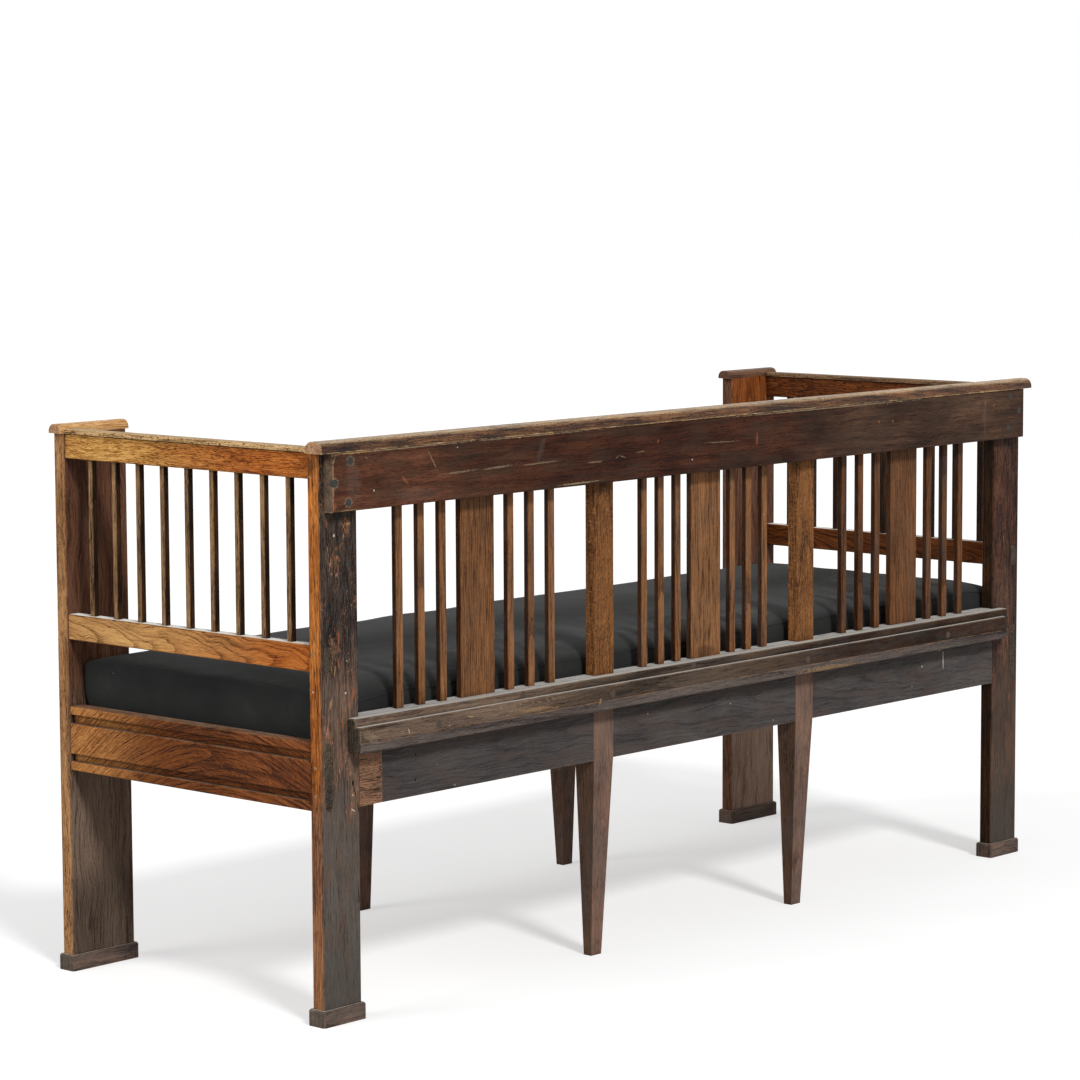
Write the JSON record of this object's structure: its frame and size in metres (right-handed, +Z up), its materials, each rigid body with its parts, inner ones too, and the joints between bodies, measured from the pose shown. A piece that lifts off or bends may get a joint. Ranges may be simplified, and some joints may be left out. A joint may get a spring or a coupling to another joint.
{
  "type": "mission settle",
  "caption": "Long oak settle with slatted back, square spindles under the flat arms of both ends, moulded seat rails, block feet and a loose box cushion.",
  "frame": {"origin": "on the floor under the middle of the settle's bounding box", "axes": "+X along the seat, to the right of someone who looks at the front; the front faces -Y; +Z up"},
  "size_m": [1.792, 0.6216, 0.8675],
  "materials": {
    "end_oak": "worn satin, honey brown",
    "post_oak": "worn satin, dark brown with orange edges",
    "back_oak": "dull, nearly black brown",
    "slat_oak": "satin, reddish brown",
    "foot_oak": "worn satin, dark brown",
    "seat_framing": "bare, unfinished",
    "cushion_cloth": "matte black cloth"
  },
  "bodies": {
    "root": {"apron_end_block": "back_oak", "apron_left": "back_oak", "apron_middle": "back_oak", "apron_right": "back_oak", "back_sill": "back_oak", "cap_back": "end_oak", "cap_front_left": "end_oak", "cap_front_right": "end_oak", "cap_strip_left": "end_oak", "cap_strip_right": "end_oak", "crest_board": "back_oak", "crest_rail": "back_oak", "cushion": "cushion_cloth", "end_mid_rail_left": "end_oak", "end_mid_rail_right": "end_oak", "end_seat_rail_left": "end_oak", "end_seat_rail_right": "end_oak", "end_top_rail_left": "end_oak", "end_top_rail_right": "end_oak", "foot_back_left": "foot_oak", "foot_back_right": "foot_oak", "foot_front_left": "foot_oak", "foot_front_right": "foot_oak", "front_seat_rail": "end_oak", "middle_leg_back_left": "back_oak", "middle_leg_back_right": "back_oak", "middle_leg_front_left": "back_oak", "middle_leg_front_right": "back_oak", "post_back_left": "post_oak", "post_back_right": "post_oak", "post_front_left": "post_oak", "post_front_right": "post_oak", "seat_bearer_left": "seat_framing", "seat_bearer_right": "seat_framing", "seat_board_1": "seat_framing", "seat_board_2": "seat_framing", "seat_board_3": "seat_framing", "seat_board_4": "seat_framing", "seat_cleat_left": "seat_framing", "seat_cleat_right": "seat_framing", "sill_moulding": "back_oak", "slats_left_bay_a": "slat_oak", "slats_left_bay_b": "slat_oak", "slats_middle_bay_a": "slat_oak", "slats_middle_bay_b": "slat_oak", "slats_right_bay_a": "slat_oak", "slats_right_bay_b": "slat_oak", "spindles_left": "end_oak", "spindles_right": "end_oak", "stile_left": "slat_oak", "stile_right": "slat_oak", "wide_slat_left": "slat_oak", "wide_slat_middle": "slat_oak", "wide_slat_right": "slat_oak"}
  },
  "joints": []
}
